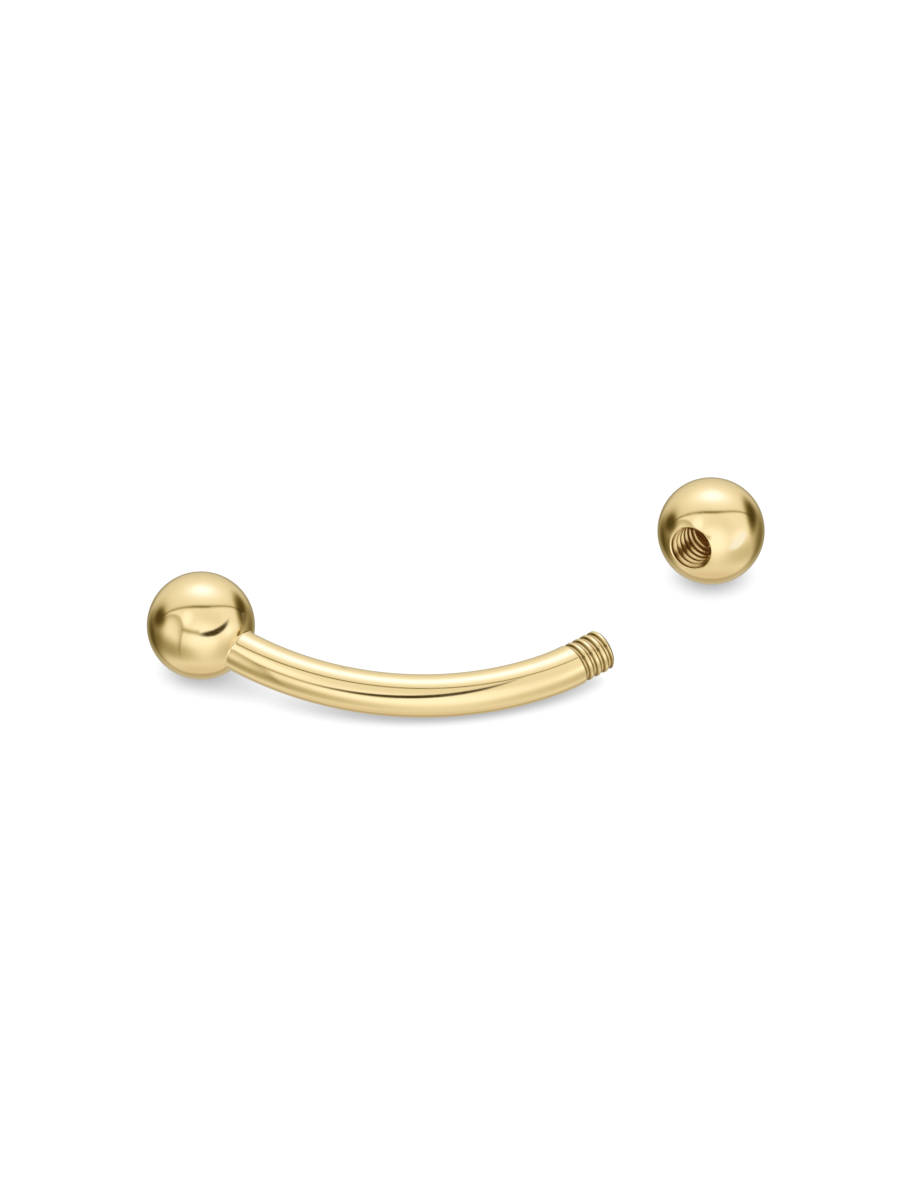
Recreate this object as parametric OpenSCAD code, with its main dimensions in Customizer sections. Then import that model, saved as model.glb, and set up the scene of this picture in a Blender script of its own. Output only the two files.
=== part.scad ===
// Curved eyebrow barbell: a bent bar with one fixed ball, and a screw ball lying unscrewed beside it.
// Millimetres, +Z up. Both lie on the surface z = 0. The bar's two ends lie along X, the bend bulges to -Y.
// The origin is the centre of the underside of the box round both pieces.

/* [Bar] */
// Diameter of the plain bar (16 gauge)
bar_d = 1.2; // [1:0.1:1.6]
// Radius of the bend, at the middle of the bar
bend_r = 8.5; // [7.5:0.1:12]
// How far round the bend turns, in degrees
bend_turn = 70; // [64:1:76]
// Radius of the tighter bend just before the thread
end_r = 5; // [4.5:0.1:8]
// How far the tighter bend turns, in degrees
end_turn = 9; // [5:1:12]

/* [Balls] */
// Diameter of both balls
ball_d = 3; // [2.8:0.1:3.6]

/* [Thread] */
// Distance from one ridge of the thread to the next
pitch = 0.25; // [0.2:0.05:0.25]
// Number of grooves cut round the end of the bar
bar_grooves = 4; // [2:1:5]
// How far the top of the bar's thread lies below the plain bar
crest_drop = 0.01; // [0.01:0.005:0.04]
// Width of the last ridge, before the bevel of the tip
tip_ridge = 0.07; // [0.03:0.01:0.1]
// Length of the bevel at the very tip
tip_bevel = 0.06; // [0.03:0.01:0.1]
// Number of grooves cut round the wall of the ball's hole
hole_grooves = 6; // [4:1:7]
// Play between the two threads, measured along the radius
thread_play = 0.02; // [0.01:0.005:0.03]
// How far the hole's ridges stop short of the bottom of the bar's grooves
ridge_gap = 0.06; // [0.04:0.01:0.08]

/* [Hole] */
// How far the edge of the hole's bevelled mouth stands outside the bar
mouth_rim = 0.04; // [0.02:0.01:0.08]
// Slope of the mouth's bevel, in degrees from the hole's axis
mouth_slope = 50; // [45:1:60]
// Plain width between the mouth's bevel and the first groove
mouth_land = 0.02; // [0.01:0.01:0.05]
// Plain drilled length past the thread
drill_tail = 0.25; // [0.1:0.05:0.3]

/* [Lying] */
// How far round the bend from the fixed ball the bar touches the surface, where the piece balances
contact_turn = 54; // [50:1:60]
// Distance of the screw ball to the right of the fixed ball, centre to centre
apart_x = 14.1; // [13.5:0.1:18]
// Distance of the screw ball behind the fixed ball, centre to centre
apart_y = 4.95; // [3.5:0.05:8]
// Where the hole faces, in degrees to the left of -Y
hole_heading = 25; // [-60:1:60]
// How far the hole faces upwards, in degrees
hole_rise = 10; // [0:1:60]

/* [Hidden] */
$fn = 64;

bar_r = bar_d / 2;
ball_r = ball_d / 2;
gold = [0.86, 0.72, 0.42];

// 60 degree thread with polished-down ridges: run of a flank for each millimetre of depth, and the ridge's flat
flank_run = tan(30);
crest_flat = 0.4 * pitch;
thread_depth = (pitch - crest_flat) / 2 / flank_run;

// Male thread on the bar, measured along the bar from its shoulder towards the tip
bar_crest_r = bar_r - crest_drop;
bar_root_r = bar_crest_r - thread_depth;
bar_groove_half = (pitch - crest_flat) / 2;
thread_len = 2 * bar_groove_half + pitch * (bar_grooves - 1) + tip_ridge + tip_bevel;
// Length of the thread's core that runs on into the bend and joins the two
core_key = 0.3;

// Female thread in the ball, measured inwards from the plane of the mouth. Screwed on, the bar's shoulder rests
// just inside the bevel, and the bar's ridges lie in the hole's grooves.
hole_root_r = bar_crest_r + thread_play;
hole_crest_r = bar_root_r + ridge_gap;
mouth_r = bar_r + mouth_rim;
mouth_z = sqrt(pow(ball_r, 2) - pow(mouth_r, 2));
mouth_bevel = (mouth_r - hole_crest_r) / tan(mouth_slope);
hole_groove_half = crest_flat / 2 + (hole_root_r - hole_crest_r) * flank_run;
hole_groove_1 = mouth_bevel + mouth_land + hole_groove_half;
hole_thread_end = hole_groove_1 + pitch * (hole_grooves - 1) + hole_groove_half;
hole_depth = hole_thread_end + drill_tail;
drill_point = hole_crest_r / tan(59);
past_ball = 0.3;

// Lying: the fixed ball holds its end up, so the plane of the bend tilts about the touching point's tangent
past_turn = bend_turn - contact_turn;
tip_turn = past_turn + end_turn;
tilt = asin((ball_r - bar_r) / (bend_r * (1 - cos(contact_turn))));
end_dx = end_r * (sin(tip_turn) - sin(past_turn)) + thread_len * cos(tip_turn);
end_dy = end_r * (cos(past_turn) - cos(tip_turn)) + thread_len * sin(tip_turn);
ends_dx = bend_r * (sin(contact_turn) + sin(past_turn)) + end_dx;
ends_dy = (bend_r * (cos(contact_turn) - cos(past_turn)) + end_dy) * cos(tilt);
ends_turn = -atan2(ends_dy, ends_dx);

// Touching point and the bend's middle, seen from above, from the fixed ball's centre
function turned(x, y) = [x * cos(ends_turn) - y * sin(ends_turn), x * sin(ends_turn) + y * cos(ends_turn)];
touch = turned(bend_r * sin(contact_turn), -bend_r * (1 - cos(contact_turn)) * cos(tilt));
bend_mid = turned(bend_r * sin(contact_turn), bend_r * cos(contact_turn) * cos(tilt));
bend_reach = bend_r * sqrt(1 - pow(sin(tilt) * cos(ends_turn), 2));

// Middle of the box round both pieces, from the fixed ball's centre
front_y = bend_mid[1] - bend_reach - bar_r;
back_y = apart_y + ball_r;
middle = [apart_x / 2, (front_y + back_y) / 2];

// Outline of one groove of the bar, as radius and distance from the shoulder
function bar_groove(z) = [
    [bar_crest_r, z - bar_groove_half],
    [bar_root_r, z],
    [bar_crest_r, z + bar_groove_half]
];

// Outline of one groove of the hole, as radius and height in the ball
function hole_groove(z) = [
    [hole_crest_r, z + hole_groove_half],
    [hole_root_r, z + crest_flat / 2],
    [hole_root_r, z - crest_flat / 2],
    [hole_crest_r, z - hole_groove_half]
];

// The straight end of the bar along +Z, with its ring thread from the shoulder at z = 0 to the tip
module threaded_end() {
    grooves = [for (i = [0 : bar_grooves - 1]) each bar_groove(bar_groove_half + i * pitch)];
    rotate_extrude()
        polygon(concat(
            [[0, -core_key], [bar_root_r, -core_key], [bar_root_r, 0]],
            grooves,
            [[bar_crest_r, thread_len - tip_bevel], [bar_crest_r - tip_bevel, thread_len], [0, thread_len]]
        ));
}

// A round bar bent through an angle about the origin, from +X on
module bend(radius, turn) {
    rotate_extrude(angle = turn)
        translate([radius, 0])
            circle(r = bar_r);
}

// Bar, thread and fixed ball: the bend goes round the origin from +X on, the tighter bend and the thread before it
module bent_bar() {
    bend(bend_r, bend_turn);
    rotate([0, 0, bend_turn])
        translate([bend_r, 0, 0])
            sphere(r = ball_r);
    translate([bend_r - end_r, 0, 0])
        rotate([0, 0, -end_turn]) {
            bend(end_r, end_turn);
            translate([end_r, 0, 0])
                rotate([90, 0, 0])
                    threaded_end();
        }
}

// The hole as a solid: bevelled mouth, ring thread, drilled tail and its cone, opening along +Z
module threaded_hole() {
    grooves = [for (i = [0 : hole_grooves - 1]) each hole_groove(mouth_z - hole_groove_1 - i * pitch)];
    rotate_extrude()
        polygon(concat(
            [[0, mouth_z + past_ball], [mouth_r + past_ball * tan(mouth_slope), mouth_z + past_ball]],
            [[hole_crest_r, mouth_z - mouth_bevel]],
            grooves,
            [[hole_crest_r, mouth_z - hole_depth], [0, mouth_z - hole_depth - drill_point]]
        ));
}

module ball_ended_bar() {
    color(gold)
        translate([touch[0] - middle[0], touch[1] - middle[1], bar_r])
            rotate([0, 0, ends_turn])
                rotate([tilt, 0, 0])
                    translate([0, bend_r, 0])
                        rotate([180, 0, past_turn - 90])
                            bent_bar();
}

module screw_ball() {
    color(gold)
        translate([apart_x - middle[0], apart_y - middle[1], ball_r])
            rotate([90 - hole_rise, 0, -hole_heading])
                difference() {
                    sphere(r = ball_r);
                    threaded_hole();
                }
}

ball_ended_bar();
screw_ball();
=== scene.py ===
"""Looks of a curved eyebrow barbell: polished gold, with true helical threads, on a pale studio table.

The bar with its fixed ball and the loose screw ball are modelled here in fine meshes that stand in the places
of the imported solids. Lengths are worked out in millimetres and turned into metres as each mesh is made.
"""

import math

import bpy
import numpy as np
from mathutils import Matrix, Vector


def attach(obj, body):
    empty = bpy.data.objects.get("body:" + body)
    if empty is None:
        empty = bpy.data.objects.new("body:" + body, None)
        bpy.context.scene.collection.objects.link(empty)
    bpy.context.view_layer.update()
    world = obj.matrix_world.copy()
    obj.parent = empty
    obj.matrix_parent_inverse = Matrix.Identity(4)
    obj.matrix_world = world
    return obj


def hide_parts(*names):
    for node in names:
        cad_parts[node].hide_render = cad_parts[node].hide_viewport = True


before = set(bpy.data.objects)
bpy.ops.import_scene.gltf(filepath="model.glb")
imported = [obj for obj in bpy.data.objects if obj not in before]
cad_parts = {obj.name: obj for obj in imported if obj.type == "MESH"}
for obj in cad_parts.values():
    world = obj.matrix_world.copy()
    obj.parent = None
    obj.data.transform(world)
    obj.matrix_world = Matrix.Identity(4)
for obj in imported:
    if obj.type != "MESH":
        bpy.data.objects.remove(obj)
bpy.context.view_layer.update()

MM = 0.001

# The bar and the balls
BAR_R = 0.6
BALL_R = 1.5
BEND_R = 8.5
BEND_TURN = math.radians(70)
END_R = 5
END_TURN = math.radians(9)
CONTACT_TURN = math.radians(54)
WELD = 0.045

# The male thread, measured along the bar from its shoulder
PITCH = 0.25
GROOVES = 4
CREST_R = 0.59
TIP_RIDGE = 0.07
TIP_BEVEL = 0.06
FLANK_RUN = math.tan(math.radians(30))
CREST_FLAT = 0.4 * PITCH
GROOVE_HALF = (PITCH - CREST_FLAT) / 2
ROOT_R = CREST_R - GROOVE_HALF / FLANK_RUN
THREAD_LEN = 2 * GROOVE_HALF + PITCH * (GROOVES - 1) + TIP_RIDGE + TIP_BEVEL

# Where its helix starts round the bar, how far round it runs in, and how long the step down to it is
THREAD_START = math.radians(90)
RUN_IN = 0.2
SHOULDER_RUN = 0.04

# How the polish has rounded its grooves and made them shallow, and how much painted shade darkens their
# flanks and the rim of the tip
WORN_HALF = 0.1
WORN_DEPTH = 0.075
FLANK_DARK = 1.2
RIM_DARK = 1.1

# The hole, measured inwards from the plane of its mouth
MOUTH_R = BAR_R + 0.04
MOUTH_SLOPE = math.radians(50)
MOUTH_LAND = 0.02
MOUTH_ROUNDING = 0.012
HOLE_CREST_R = ROOT_R + 0.06
HOLE_ROOT_R = CREST_R + 0.02
HOLE_HALF = CREST_FLAT / 2 + (HOLE_ROOT_R - HOLE_CREST_R) * FLANK_RUN
HOLE_GROOVES = 6
HOLE_SOFTNESS = 0.016
MOUTH_BEVEL = (MOUTH_R - HOLE_CREST_R) / math.tan(MOUTH_SLOPE)
HOLE_GROOVE_1 = MOUTH_BEVEL + MOUTH_LAND + HOLE_HALF
HOLE_THREAD_END = HOLE_GROOVE_1 + PITCH * (HOLE_GROOVES - 1) + HOLE_HALF
DRILL_TAIL = 0.25
HOLE_DEPTH = HOLE_THREAD_END + DRILL_TAIL
DRILL_POINT = HOLE_CREST_R / math.tan(math.radians(59))
MOUTH_Z = math.sqrt(BALL_R**2 - MOUTH_R**2)

# The painted dark streak down one side of the hole, the depths over which it starts and ends, and the painted
# shade at the hole's far end
STREAK_ANGLE = math.radians(220)
STREAK_HALF = math.radians(13)
STREAK_STARTS = (0, 0.25)
STREAK_ENDS = (0.9, 1.3)
STREAK_DARK = 1.3
HOLE_END_STARTS = (0.9, 1.5)
HOLE_END_DARK = 0.7

# How the two pieces lie
APART_X = 14.1
APART_Y = 4.95
HOLE_HEADING = math.radians(25)
HOLE_RISE = math.radians(10)

# Fineness of the meshes, and the angles of the points round each ring
AROUND = 160
BEND_STEP = 0.06
THREAD_STEP = 0.0125
FINE_BEFORE_THREAD = 0.25
ARC_STEP = math.radians(1.6)
ANGLES = np.linspace(0, 2 * math.pi, AROUND, endpoint=False)
COS, SIN = np.cos(ANGLES), np.sin(ANGLES)

# Colour of the gold, and of a painted brown glow: the little light that is left where it only shows itself
GOLD = (0.88, 0.70, 0.37)
BROWN = (1.0, 0.36, 0.08)

# How much painted shade darkens the gold in the grooves, how fast each colour darkens, and the deepest that
# counts
PAINTED_SHADE_STRENGTH = 0.62
FADING = (1.0, 1.15, 1.6)
DEEPEST = 1.45

# Share of the bar's length that its polish follows, so that the lines are drawn out along it
DRAWN = 0.06

# Half the width of the table in metres, how far the pieces' painted shadow reaches on it, its brightness and
# what the painted shadow takes away
TABLE_HALF = 1.2
SHADE_REACH = 1.35
TABLE_LIGHT = 1.03
SHADE_LOST = (0.56, 0.56, 0.55)

# Paint of the dark cards, and of what only glows
DARK_PAINT = (0.01, 0.007, 0.002)
NO_PAINT = (0, 0, 0)

# The camera: where it stands round the pieces, how far off, what it looks at, and its lens and sensor
CAMERA_AZIMUTH = math.radians(1.268)
CAMERA_ELEVATION = math.radians(34.684)
CAMERA_DISTANCE = 450
CAMERA_AIM = (-0.2014, 0.7911, 0.6)
CAMERA_LENS = 484.12
CAMERA_SENSOR = 36


def turn_x(angle):
    """Matrix of a turn about X."""
    c, s = math.cos(angle), math.sin(angle)
    return np.array([[1, 0, 0], [0, c, -s], [0, s, c]])


def turn_z(angle):
    """Matrix of a turn about Z."""
    c, s = math.cos(angle), math.sin(angle)
    return np.array([[c, -s, 0], [s, c, 0], [0, 0, 1]])


def lying_places():
    """Where the two pieces lie: a matrix and an offset in millimetres for each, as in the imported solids."""
    past_turn = BEND_TURN - CONTACT_TURN
    tip_turn = past_turn + END_TURN
    tilt = math.asin((BALL_R - BAR_R) / (BEND_R * (1 - math.cos(CONTACT_TURN))))
    end_dx = END_R * (math.sin(tip_turn) - math.sin(past_turn)) + THREAD_LEN * math.cos(tip_turn)
    end_dy = END_R * (math.cos(past_turn) - math.cos(tip_turn)) + THREAD_LEN * math.sin(tip_turn)
    ends_dx = BEND_R * (math.sin(CONTACT_TURN) + math.sin(past_turn)) + end_dx
    rise = BEND_R * (math.cos(CONTACT_TURN) - math.cos(past_turn)) + end_dy
    ends_turn = -math.atan2(rise * math.cos(tilt), ends_dx)
    flat = turn_z(ends_turn)
    touch_x = BEND_R * math.sin(CONTACT_TURN)
    touch = flat @ [touch_x, -BEND_R * (1 - math.cos(CONTACT_TURN)) * math.cos(tilt), 0]
    middle_of_bend = flat @ [touch_x, BEND_R * math.cos(CONTACT_TURN) * math.cos(tilt), 0]
    reach = BEND_R * math.sqrt(1 - (math.sin(tilt) * math.cos(ends_turn)) ** 2)
    front = middle_of_bend[1] - reach - BAR_R
    middle = np.array([APART_X / 2, (front + APART_Y + BALL_R) / 2, 0])
    lying = flat @ turn_x(tilt)
    bar_turn = lying @ turn_x(math.pi) @ turn_z(math.pi / 2 - past_turn)
    bar_place = touch - middle + [0, 0, BAR_R] + lying @ [0, BEND_R, 0]
    ball_turn = turn_z(-HOLE_HEADING) @ turn_x(math.pi / 2 - HOLE_RISE)
    ball_place = np.array([APART_X, APART_Y, BALL_R]) - middle
    return (bar_turn, bar_place), (ball_turn, ball_place)


def soft_step(value, low, high):
    """A soft step from 0 at low to 1 at high."""
    share = np.clip((value - low) / (high - low), 0, 1)
    return share * share * (3 - 2 * share)


def slerp(start, end, share):
    """Directions part of the way from start to end."""
    angle = np.arccos(np.clip((start * end).sum(-1, keepdims=True), -1, 1))
    return (start * np.sin((1 - share) * angle) + end * np.sin(share * angle)) / np.sin(angle)


def rounded(start, corner, end, shares):
    """Rings that round off a corner, at shares of the way from one edge to the other."""
    return [(1 - s) ** 2 * start + 2 * s * (1 - s) * corner + s**2 * end for s in shares]


def grid_faces(rows, columns, start):
    """Quads between rows of vertices that close round on themselves."""
    faces = []
    for i in range(rows - 1):
        a, b = start + i * columns, start + (i + 1) * columns
        for j in range(columns):
            k = (j + 1) % columns
            faces.append((a + j, a + k, b + k, b + j))
    return faces


def make_piece(name, rings, start_pole, end_pole, place, grain, painted_darkness):
    """One closed mesh from a pole, rings of equal count and a pole, put in its place and shaded smooth.

    The polish follows the places named grain, and the last argument is how much painted shade darkens a
    place: both have a row for each ring.
    """
    columns = len(rings[0])
    turn, offset = place
    points = np.vstack([[start_pole], *rings, [end_pole]]) @ turn.T + offset
    faces = [(0, 1 + (j + 1) % columns, 1 + j) for j in range(columns)]
    faces += grid_faces(len(rings), columns, 1)
    last = 1 + (len(rings) - 1) * columns
    end = last + columns
    faces += [(end, last + j, last + (j + 1) % columns) for j in range(columns)]
    mesh = bpy.data.meshes.new(name)
    mesh.from_pydata([tuple(p) for p in points * MM], [], faces)
    grain_places = np.vstack([[grain[0][0]], *grain, [grain[-1][0]]])
    layer = mesh.attributes.new("grain", "FLOAT_VECTOR", "POINT")
    layer.data.foreach_set("vector", grain_places.ravel())
    layer = mesh.attributes.new("painted_darkness", "FLOAT", "POINT")
    layer.data.foreach_set("value", np.hstack([[0], *painted_darkness, [painted_darkness[-1][0]]]))
    mesh.shade_smooth()
    piece = bpy.data.objects.new(name, mesh)
    bpy.context.scene.collection.objects.link(piece)
    return piece


def on_bend(turn):
    """A ring on the outside of the bar at a turn round the bend."""
    out = BEND_R + BAR_R * COS
    return np.stack([out * np.cos(turn), out * np.sin(turn), BAR_R * SIN], -1)


def weld_turns():
    """Turns round the bend at which the lines along the outside of the bar meet the fixed ball."""
    out = BEND_R + BAR_R * COS
    reach = (out**2 + BEND_R**2 + (BAR_R * SIN) ** 2 - BALL_R**2) / (2 * BEND_R * out)
    return BEND_TURN - np.arccos(reach)


def fixed_ball_rings(meet, middle, far):
    """Rings of the fixed ball from its pole far from the bar, and of the weld where the bar meets it."""
    corner = on_bend(meet)
    corner_way = (corner - middle) / BALL_R
    to_weld = WELD / BALL_R / np.arccos(corner_way @ far)[:, None]
    rings = []
    count = int(math.pi / ARC_STEP)
    for i in range(1, count + 1):
        share = 1 - (1 - to_weld) * i / count
        rings.append(middle + BALL_R * slerp(corner_way, far[None, :], share))
    return rings + rounded(rings[-1], corner, on_bend(meet - WELD / BEND_R), (0.2, 0.4, 0.6, 0.8))


def bar_middle(along):
    """Middle of the bar at a distance past its shoulder, and the way from it to the outside of the bend."""
    turn = -END_TURN - min(along, 0) / END_R
    out = np.array([math.cos(turn), math.sin(turn), 0])
    ahead = np.array([math.sin(turn), -math.cos(turn), 0])
    return np.array([BEND_R - END_R, 0, 0]) + END_R * out + max(along, 0) * ahead, out


def bar_radius(along):
    """Outside of the bar at a distance past its shoulder, and how steep its groove is there.

    The groove is right-handed, and rounded and made shallow by the polish.
    """
    round_share = (ANGLES - THREAD_START) % (2 * math.pi) / (2 * math.pi)
    first = GROOVE_HALF + PITCH * (round_share - 0.5)
    turn = np.maximum(np.round((along - first) / PITCH), 0)
    offset = along - first - turn * PITCH
    fade = soft_step(round_share, 0, RUN_IN)
    edge = first + PITCH * (1 - fade)
    outside = BAR_R - (BAR_R - CREST_R) * soft_step(along - edge, -SHOULDER_RUN / 2, SHOULDER_RUN / 2)
    share = soft_step(WORN_HALF - np.abs(offset), 0, WORN_HALF) * np.where(turn == 0, fade, 1.0)
    bevel = CREST_R - TIP_BEVEL + (THREAD_LEN - along)
    return np.minimum(outside - WORN_DEPTH * share, bevel), 4 * share * (1 - share)


def bar_ring(along, radius):
    """A ring round the bar at a distance past its shoulder."""
    middle, out = bar_middle(along)
    return middle + np.outer(radius * COS, out) + np.outer(radius * SIN, [0, 0, 1])


def drawn_out(along):
    """Places that the bar's polish follows at a distance past its shoulder."""
    return np.stack([BAR_R * COS, BAR_R * SIN, np.full(AROUND, DRAWN * along)], -1)


def bar_rings():
    """Rings of the bar and its fixed ball, from the ball's far pole to the middle of the tip's flat end.

    With each ring go the places that its polish follows, drawn out lengthwise on the bar, and how much
    painted shade darkens it.
    The two poles come between the rings and these.
    """
    ball_middle = BEND_R * np.array([math.cos(BEND_TURN), math.sin(BEND_TURN), 0])
    far = np.array([-math.sin(BEND_TURN), math.cos(BEND_TURN), 0])
    meet = weld_turns()
    rings = fixed_ball_rings(meet, ball_middle, far)
    grain = list(rings)
    painted_darkness = [np.zeros(AROUND)] * len(rings)

    rows = int((BEND_R * BEND_TURN - BALL_R) / BEND_STEP)
    for i in range(rows):
        turn = (meet - WELD / BEND_R) * (1 - i / rows)
        rings.append(on_bend(turn))
        grain.append(drawn_out(-END_R * END_TURN - BEND_R * turn))
        painted_darkness.append(np.zeros(AROUND))

    along = -END_R * END_TURN
    while along < THREAD_LEN - 1e-9:
        radius, steep = bar_radius(along)
        rings.append(bar_ring(along, radius))
        grain.append(drawn_out(along))
        # Painted shade on the thread's flanks, and all round the bevelled rim of the tip
        painted_darkness.append(steep * FLANK_DARK if along < THREAD_LEN - TIP_BEVEL else np.full(AROUND, RIM_DARK))
        along += BEND_STEP if along < -FINE_BEFORE_THREAD else THREAD_STEP

    tip_middle = bar_middle(THREAD_LEN)[0]
    tip = bar_ring(THREAD_LEN, bar_radius(THREAD_LEN)[0])
    for share in (1, 0.985, 0.95, 0.6, 0.25):
        rings.append(tip_middle + (tip - tip_middle) * share)
        grain.append(rings[-1])
        painted_darkness.append(np.zeros(AROUND))
    return rings, ball_middle + BALL_R * far, tip_middle, grain, painted_darkness


def groove_share(offset):
    """How deep the hole's groove is at a distance from its middle: 0 at its edge, 1 on its flat, softened."""
    shares = []
    for nudge in (-HOLE_SOFTNESS, -HOLE_SOFTNESS / 2, 0, HOLE_SOFTNESS / 2, HOLE_SOFTNESS):
        run = (HOLE_HALF - np.abs(offset + nudge)) / (HOLE_HALF - CREST_FLAT / 2)
        shares.append(np.clip(run, 0, 1))
    return sum(shares) / len(shares)


def hole_radius(depth):
    """Inside of the hole at a depth below its mouth, and what share of its groove's full depth is cut there.
    """
    first = HOLE_GROOVE_1 - PITCH * ANGLES / (2 * math.pi)
    offset = (depth - first + PITCH / 2) % PITCH - PITCH / 2
    ending = np.clip((HOLE_THREAD_END - depth) / PITCH + 0.5, 0, 1)
    share = groove_share(offset) * ending
    thread = HOLE_CREST_R + (HOLE_ROOT_R - HOLE_CREST_R) * share
    bevel = MOUTH_R - depth * math.tan(MOUTH_SLOPE)
    return np.maximum(thread, bevel), np.where(thread > bevel, share, 0)


def hole_streak(depth):
    """A painted dark streak down one side of the hole, for the shade where its walls only see each other."""
    aside = (ANGLES - STREAK_ANGLE + math.pi) % (2 * math.pi) - math.pi
    sunk = soft_step(depth, *STREAK_STARTS) * (1 - soft_step(depth, *STREAK_ENDS))
    return STREAK_DARK * np.exp(-((aside / STREAK_HALF) ** 2)) * sunk


def ball_rings():
    """Rings of the screw ball, from its closed pole over the mouth and down the hole to the drill's point.

    With each ring go the places that its polish follows and how much painted shade darkens it. The two poles
    come between the rings and these.
    """
    round_ways = np.stack([COS, SIN, np.zeros(AROUND)], -1)
    up = np.array([0, 0, 1.0])
    rings = []
    full = math.pi - math.asin(MOUTH_R / BALL_R) - MOUTH_ROUNDING / BALL_R
    count = int(full / ARC_STEP)
    for i in range(1, count + 1):
        polar = math.pi - full * i / count
        rings.append(BALL_R * (math.sin(polar) * round_ways + math.cos(polar) * up))
    corner = MOUTH_R * round_ways + MOUTH_Z * up
    depth = MOUTH_ROUNDING * math.cos(MOUTH_SLOPE)
    inner_r = MOUTH_R - MOUTH_ROUNDING * math.sin(MOUTH_SLOPE)
    rings += rounded(rings[-1], corner, inner_r * round_ways + (MOUTH_Z - depth) * up, (0.25, 0.5, 0.75))
    painted_darkness = [np.zeros(AROUND)] * len(rings)

    while depth < HOLE_DEPTH:
        radius, cut = hole_radius(depth)
        rings.append(radius[:, None] * round_ways + (MOUTH_Z - depth) * up)
        # Painted shade in the hole: in its grooves, in a streak down one side, and all over its far end
        hole_end = HOLE_END_DARK * soft_step(depth, *HOLE_END_STARTS)
        painted_darkness.append(np.maximum(cut + hole_streak(depth), hole_end))
        depth += THREAD_STEP

    for share in (1.0, 0.97, 0.7, 0.35):
        sunk = MOUTH_Z - HOLE_DEPTH - DRILL_POINT * (1 - share)
        rings.append(HOLE_CREST_R * share * round_ways + sunk * up)
        painted_darkness.append(np.full(AROUND, HOLE_END_DARK))
    return rings, -BALL_R * up, (MOUTH_Z - HOLE_DEPTH - DRILL_POINT) * up, rings, painted_darkness


def make_bar(place):
    """The bent bar with its fixed ball and its thread."""
    rings, start, end, grain, painted_darkness = bar_rings()
    piece = make_piece("bent_bar_with_fixed_ball", rings, start, end, place, grain, painted_darkness)
    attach(piece, "root")
    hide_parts("ball_ended_bar")
    return piece


def make_ball(place):
    """The screw ball with its threaded hole."""
    rings, start, end, grain, painted_darkness = ball_rings()
    piece = make_piece("screw_ball_with_threaded_hole", rings, start, end, place, grain, painted_darkness)
    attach(piece, "root")
    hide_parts("screw_ball")
    return piece


class Number:
    """A number that a node tree works out, written with ordinary arithmetic."""

    def __init__(self, tree, socket):
        self.tree = tree
        self.socket = socket

    def math(self, operation, *others):
        """The result of a Math node fed with this number and others."""
        node = self.tree.nodes.new("ShaderNodeMath")
        node.operation = operation
        for slot, value in zip(node.inputs, (self, *others)):
            if isinstance(value, Number):
                self.tree.links.new(value.socket, slot)
            else:
                slot.default_value = value
        return Number(self.tree, node.outputs[0])

    def __add__(self, other):
        return self.math("ADD", other)

    def __sub__(self, other):
        return self.math("SUBTRACT", other)

    def __mul__(self, other):
        return self.math("MULTIPLY", other)

    def __truediv__(self, other):
        return self.math("DIVIDE", other)

    def __rsub__(self, other):
        return self.math("MULTIPLY", -1.0) + other

    def __pow__(self, power):
        return self.math("POWER", power)

    __radd__ = __add__
    __rmul__ = __mul__

    def size(self):
        """Without its sign."""
        return self.math("ABSOLUTE")

    def square(self):
        """Times itself."""
        return self * self

    def bell(self, width):
        """1 where this is 0, falling smoothly to nothing at about twice the width on both sides."""
        return ((self / width).square() * -1.0).math("EXPONENT")

    def step(self, low, high):
        """A soft step from 0 at low to 1 at high."""
        node = self.tree.nodes.new("ShaderNodeMapRange")
        node.interpolation_type = "SMOOTHSTEP"
        self.tree.links.new(self.socket, node.inputs["Value"])
        node.inputs["From Min"].default_value = low
        node.inputs["From Max"].default_value = high
        return Number(self.tree, node.outputs["Result"])


def attribute(tree, name, output):
    """Output socket of a named attribute of the mesh."""
    node = tree.nodes.new("ShaderNodeAttribute")
    node.attribute_name = name
    return node.outputs[output]


def axes(tree, place):
    """The three numbers of a place."""
    parts = tree.nodes.new("ShaderNodeSeparateXYZ")
    tree.links.new(place, parts.inputs[0])
    return [Number(tree, parts.outputs[axis]) for axis in "XYZ"]


def noise(tree, place, scale, detail):
    """Noise with a grain of about 1 / scale of the place's unit, as a number round 0.5."""
    node = tree.nodes.new("ShaderNodeTexNoise")
    tree.links.new(place, node.inputs["Vector"])
    node.inputs["Scale"].default_value = scale
    node.inputs["Detail"].default_value = detail
    return Number(tree, node.outputs["Fac"])


def light_path(tree, output):
    """A number about the ray that meets the surface."""
    path = tree.nodes.new("ShaderNodeLightPath")
    return Number(tree, path.outputs[output])


def set_colour(tree, socket, parts):
    """Feeds a socket with the colour of which the parts are red, green and blue."""
    colour = tree.nodes.new("ShaderNodeCombineColor")
    for slot, part in zip(("Red", "Green", "Blue"), parts):
        tree.links.new(part.socket, colour.inputs[slot])
    tree.links.new(colour.outputs[0], socket)


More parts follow.
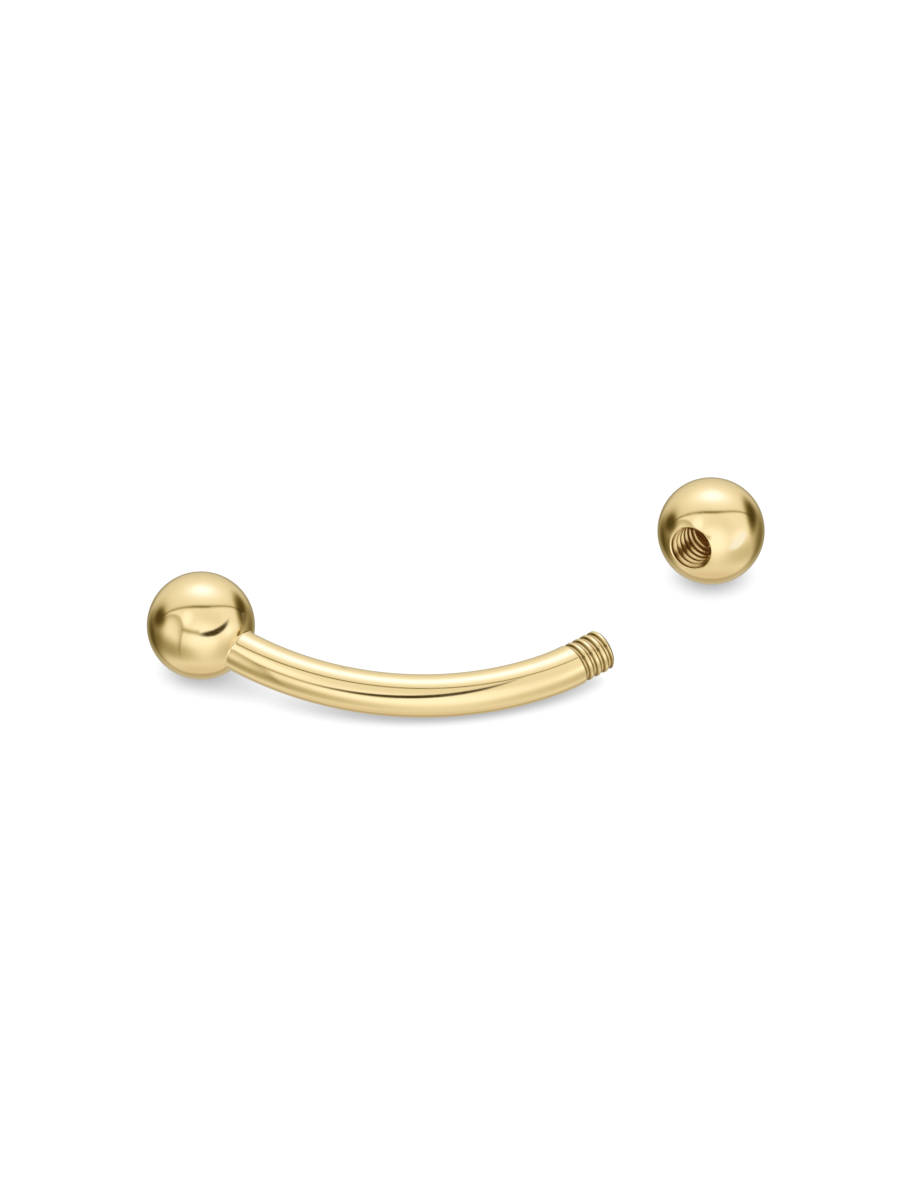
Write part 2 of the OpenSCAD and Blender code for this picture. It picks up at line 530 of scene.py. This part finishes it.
def gold_material(name, left):
    """Polished yellow gold: faint polishing lines, a little unevenness, and painted shade with a faint
    painted glow in the grooves.

    Left is how bright the painted brown glow is in the deepest places.
    """
    material = bpy.data.materials.new(name)
    material.use_nodes = True
    tree = material.node_tree
    shader = tree.nodes["Principled BSDF"]
    shader.inputs["Metallic"].default_value = 1
    place = attribute(tree, "grain", "Vector")
    painted_darkness = Number(tree, attribute(tree, "painted_darkness", "Fac"))
    broad = noise(tree, place, 1.3, 2)
    lines = noise(tree, place, 11, 3)
    fine = noise(tree, place, 70, 2)

    tone = broad * 0.10 + fine * 0.05 + 0.93
    # Painted shade: the gold darkens where the mesh marks it, blue fastest and red slowest
    painted_shade = 1 - painted_darkness.math("MINIMUM", DEEPEST) * PAINTED_SHADE_STRENGTH
    gold = [tone * (painted_shade**fading) * full for full, fading in zip(GOLD, FADING)]
    set_colour(tree, shader.inputs["Base Color"], gold)
    # A painted brown glow in the same places, for the light the gold bounces into itself there
    glow = painted_darkness.math("MINIMUM", 1.0) * left
    set_colour(tree, shader.inputs["Emission Color"], [glow * part for part in BROWN])
    shader.inputs["Emission Strength"].default_value = 1

    rough = 0.055 + lines.step(0.45, 0.75) * 0.05 + fine * 0.05 + painted_darkness * 0.12
    tree.links.new(rough.socket, shader.inputs["Roughness"])

    bump = tree.nodes.new("ShaderNodeBump")
    bump.inputs["Strength"].default_value = 1
    bump.inputs["Distance"].default_value = 0.0007 * MM
    height = broad * 1.6 + lines * 0.35 + fine * 0.03
    tree.links.new(height.socket, bump.inputs["Height"])
    tree.links.new(bump.outputs[0], shader.inputs["Normal"])
    return material


def dull_material(name, share, paint, glow, strength):
    """A dull material that glows and is see-through but for a share, which a function works out."""
    material = bpy.data.materials.new(name)
    material.use_nodes = True
    tree = material.node_tree
    shader = tree.nodes["Principled BSDF"]
    shader.inputs["Base Color"].default_value = (*paint, 1)
    shader.inputs["Roughness"].default_value = 1
    shader.inputs["Specular IOR Level"].default_value = 0
    shader.inputs["Emission Color"].default_value = (*glow, 1)
    shader.inputs["Emission Strength"].default_value = strength
    clear = tree.nodes.new("ShaderNodeBsdfTransparent")
    mix = tree.nodes.new("ShaderNodeMixShader")
    tree.links.new(share(tree).socket, mix.inputs["Fac"])
    tree.links.new(clear.outputs[0], mix.inputs[1])
    tree.links.new(shader.outputs[0], mix.inputs[2])
    tree.links.new(mix.outputs[0], tree.nodes["Material Output"].inputs["Surface"])
    return material


def seen_by_camera(tree):
    """1 for what the camera sees itself, 0 for what it sees in the gold."""
    return light_path(tree, "Is Camera Ray")


def oval_share(tree):
    """How much of a card is there: an oval that fades out at its edge."""
    along, up, _ = axes(tree, attribute(tree, "card", "Vector"))
    return (along.square() + up.square()).step(1.0, 0.2)


def far_share(tree):
    """How much of a card is there for what lies more than about 3 mm away from it."""
    return oval_share(tree) * light_path(tree, "Ray Length").step(2.8 * MM, 3.2 * MM)


def near_share(tree):
    """How much of a card is there for what lies less than about 6 mm away from it."""
    return oval_share(tree) * light_path(tree, "Ray Length").step(6.4 * MM, 5.8 * MM)


def plain_object(name, corners, faces, material):
    """A piece of the studio."""
    mesh = bpy.data.meshes.new(name)
    mesh.from_pydata(corners, [], faces)
    mesh.materials.append(material)
    piece = bpy.data.objects.new(name, mesh)
    bpy.context.scene.collection.objects.link(piece)
    return piece


def make_floor():
    """A wide white table, with a painted shadow close under the pieces. In the gold, the studio's own light
    stands for it.
    """
    material = dull_material("table_white", seen_by_camera, NO_PAINT, (1, 1, 1), 1)
    tree = material.node_tree
    open_sky = tree.nodes.new("ShaderNodeAmbientOcclusion")
    open_sky.samples = 24
    open_sky.inputs["Distance"].default_value = SHADE_REACH * MM
    # The painted shadow: the more of the open sky the pieces hide from a place, the greyer the table glows
    # there
    shade = 1 - Number(tree, open_sky.outputs["AO"]).step(0.04, 0.66)
    glow = tree.nodes["Principled BSDF"].inputs["Emission Color"]
    set_colour(tree, glow, [TABLE_LIGHT - shade * lost for lost in SHADE_LOST])
    corners = [(x * TABLE_HALF, y * TABLE_HALF, 0) for x, y in ((-1, -1), (1, -1), (1, 1), (-1, 1))]
    plain_object("table", corners, [(0, 1, 2, 3)], material)


def make_card(name, columns, rows, place, material):
    """A card that only the gold shows, from its places in millimetres at -1 to 1 along it and up it."""
    corners, faces, shares = [], [], []
    for i in range(columns + 1):
        for j in range(rows + 1):
            along, up = 2 * i / columns - 1, 2 * j / rows - 1
            corners.append(tuple(np.array(place(along, up)) * MM))
            shares += [along, up, 0]
    for i in range(columns):
        for j in range(rows):
            a = i * (rows + 1) + j
            faces.append((a, a + 1, a + rows + 2, a + rows + 1))
    card = plain_object(name, corners, faces, material)
    layer = card.data.attributes.new("card", "FLOAT_VECTOR", "POINT")
    layer.data.foreach_set("vector", shares)
    card.visible_camera = False
    card.visible_diffuse = False
    card.visible_shadow = False


def make_dark_card():
    """A curved card in front, which gives the fixed ball its dark crescent and the bar its black band."""
    middle_x, middle_y, radius = -6.6, -3.1, 11.0
    first, last = -14, 84
    middle_z, half_height = 5.2, 1.9

    def place(along, up):
        """A place on the card, which bends from the front to the right and rises towards its end."""
        degrees = first + (last - first) * (along + 1) / 2
        rise = 1.95 * max((degrees - 26) / 55, 0) ** 1.5
        way = math.radians(degrees)
        x = middle_x + radius * math.sin(way)
        y = middle_y - radius * math.cos(way)
        return x, y, middle_z + rise + half_height * up

    material = dull_material("card_black", oval_share, DARK_PAINT, (1, 0.75, 0.2), 0.06)
    make_card("dark_card", 40, 12, place, material)


def make_flat_card(name, middle, aside, upward, material):
    """A flat card, from its middle and its two half sides."""

    def place(along, up):
        """A place on the card."""
        return np.array(middle) + along * np.array(aside) + up * np.array(upward)

    make_card(name, 1, 1, place, material)


def make_brown_screen():
    """A small screen between the pieces, which keeps the loose ball out of the fixed ball's reflection."""
    material = dull_material("screen_brown", far_share, DARK_PAINT, (1, 0.85, 0.6), 0.2)
    make_flat_card("brown_screen", (-2.64, -1.11, 2.03), (-0.245, 0.57, 0), (0, 0, 0.62), material)


def make_white_card():
    """A small card beside the loose ball, which shows in it as a bright leaf right of its hole."""
    material = dull_material("card_white", near_share, NO_PAINT, (0.68, 0.76, 1), 1.6)
    make_flat_card("white_card", (10.14, 0.54, 1.92), (1.10, 1.35, 0.6), (-0.12, -0.1, 0.85), material)


def make_camera():
    """The camera at the photograph's angle, far off with a long lens."""
    level = math.cos(CAMERA_ELEVATION)
    back = Vector(
        (math.sin(CAMERA_AZIMUTH) * level, -math.cos(CAMERA_AZIMUTH) * level, math.sin(CAMERA_ELEVATION))
    )
    data = bpy.data.cameras.new("camera")
    data.lens = CAMERA_LENS
    data.sensor_width = CAMERA_SENSOR
    data.clip_start = 0.01
    data.clip_end = 10
    camera = bpy.data.objects.new("camera", data)
    camera.location = (Vector(CAMERA_AIM) + back * CAMERA_DISTANCE) * MM
    camera.rotation_mode = "QUATERNION"
    camera.rotation_quaternion = (-back).to_track_quat("-Z", "Y")
    bpy.context.scene.collection.objects.link(camera)
    bpy.context.scene.camera = camera


def studio(x, y, z):
    """Red, green and blue of the studio in a direction.

    A direction is laid out flat, in degrees from straight up: across to the right, and back away from the
    camera. Turned is how far round it lies, in degrees from the front to the right.
    """
    from_top = z.math("ARCCOSINE") * math.degrees(1)
    level = (x.square() + y.square()).math("MAXIMUM", 1e-6).math("SQRT")
    across = from_top * x / level
    back = from_top * y / level
    turned = across.math("ARCTAN2", back * -1.0) * math.degrees(1)

    def oval(a, b, width, length):
        """1 in an oval about a place, softly 0 outside."""
        return (((across - a) / width).square() + ((back - b) / length).square()).bell(1.15)

    # The pale room all round, darker low at the sides and pale again at the floor
    low = 0.38 + (turned - 18).bell(58) * 0.50 + turned.step(40, 100) * 0.20
    low = low + turned.size().step(105, 165) * (0.66 - low)
    low = low + from_top.step(122, 150) * (0.93 - low)
    room = 1.04 + from_top.step(88, 116) * (low - 1.04)
    room = room - back.step(20, 70) * 0.28

    # Brighter and darker places in its front
    front = oval(8, -86, 46, 36)
    window = oval(-30, -36, 12, 14)
    glare = (from_top - 82).bell(9) * (turned - 63).bell(16)
    dip = oval(20, -34, 30, 18)
    room = room + front * 0.21 + window * 0.22 + glare * 0.24 - dip * 0.09

    # Its edges: a curved one at the left, and the thin shade that carries on the dark card's lower edge
    past_side = across + 42 + (back + 42).square() * 0.016
    side_edge = past_side.bell(15) * past_side.step(3, -2) * back.step(10, -8) * back.step(-100, -78)
    under = (from_top - 70.5).bell(5.0) * (turned + 21).size().step(24, 16)
    room = room * (1 - side_edge * 0.40) * (1 - under * 0.52)

    # The big soft box overhead, brightest at its core
    bow = across.square() * 0.0064 + across * across.size() * 0.0022
    ahead = back + 13.5 - bow
    lean = across + 4 + (back - 36) * 0.06
    shape = ahead.step(-2, 3) * lean.size().step(70, 58) * back.step(104, 66)
    far = (((across - 2) / 1.4).square() + (back - 27).square()).math("SQRT")
    core = far.bell(16)
    light = room + shape * (0.70 + far.bell(52) * 0.42 - room)

    # The dark gap along its front edge and the dark bands at its sides
    sideways = across.size()
    line = ((ahead + 1.2) / 3.2).bell(1.0) * sideways.step(86, 66) * (0.58 + sideways.step(34, 8) * 0.22)
    slant = (across - 73) * 0.55 - (back - 39) * 0.835
    beside = (across - 73) * 0.835 + (back - 39) * 0.55
    right = ((slant / 37).square() + (beside / 15).square()).bell(1.15)
    light = light * (1 - line) * (1 - oval(-84, 22, 15, 28) * 0.84) * (1 - oval(-100, 34, 34, 46) * 0.46)
    light = light * (1 - right * 0.84) * (1 - oval(90, 54, 32, 42) * 0.42)

    # The table right under the pieces, shaded and warm with their own light
    ground = from_top.step(138, 168)
    red = (light + core * 0.30) * (1 - ground * 0.13)
    green = (light**1.12 + core * 0.48) * (1 - ground * 0.19)
    blue = (light**1.6 + core * 1.15) * (1 - ground * 0.25)
    return red, green, blue


def make_light():
    """The studio all round, which the gold shows and the camera itself sees as plain white."""
    world = bpy.data.worlds.new("studio")
    world.use_nodes = True
    tree = world.node_tree
    coordinates = tree.nodes.new("ShaderNodeTexCoord")
    direction = axes(tree, coordinates.outputs["Generated"])
    to_camera = seen_by_camera(tree)
    seen = [part + to_camera * (1.0 - part) for part in studio(*direction)]
    set_colour(tree, tree.nodes["Background"].inputs["Color"], seen)
    bpy.context.scene.world = world
    bpy.context.scene.view_settings.view_transform = "Standard"


bar_place, ball_place = lying_places()
bar = make_bar(bar_place)
ball = make_ball(ball_place)
bar.data.materials.append(gold_material("bar_gold", 0.01))
ball.data.materials.append(gold_material("ball_gold", 0.04))
make_floor()
make_dark_card()
make_brown_screen()
make_white_card()
make_camera()
make_light()
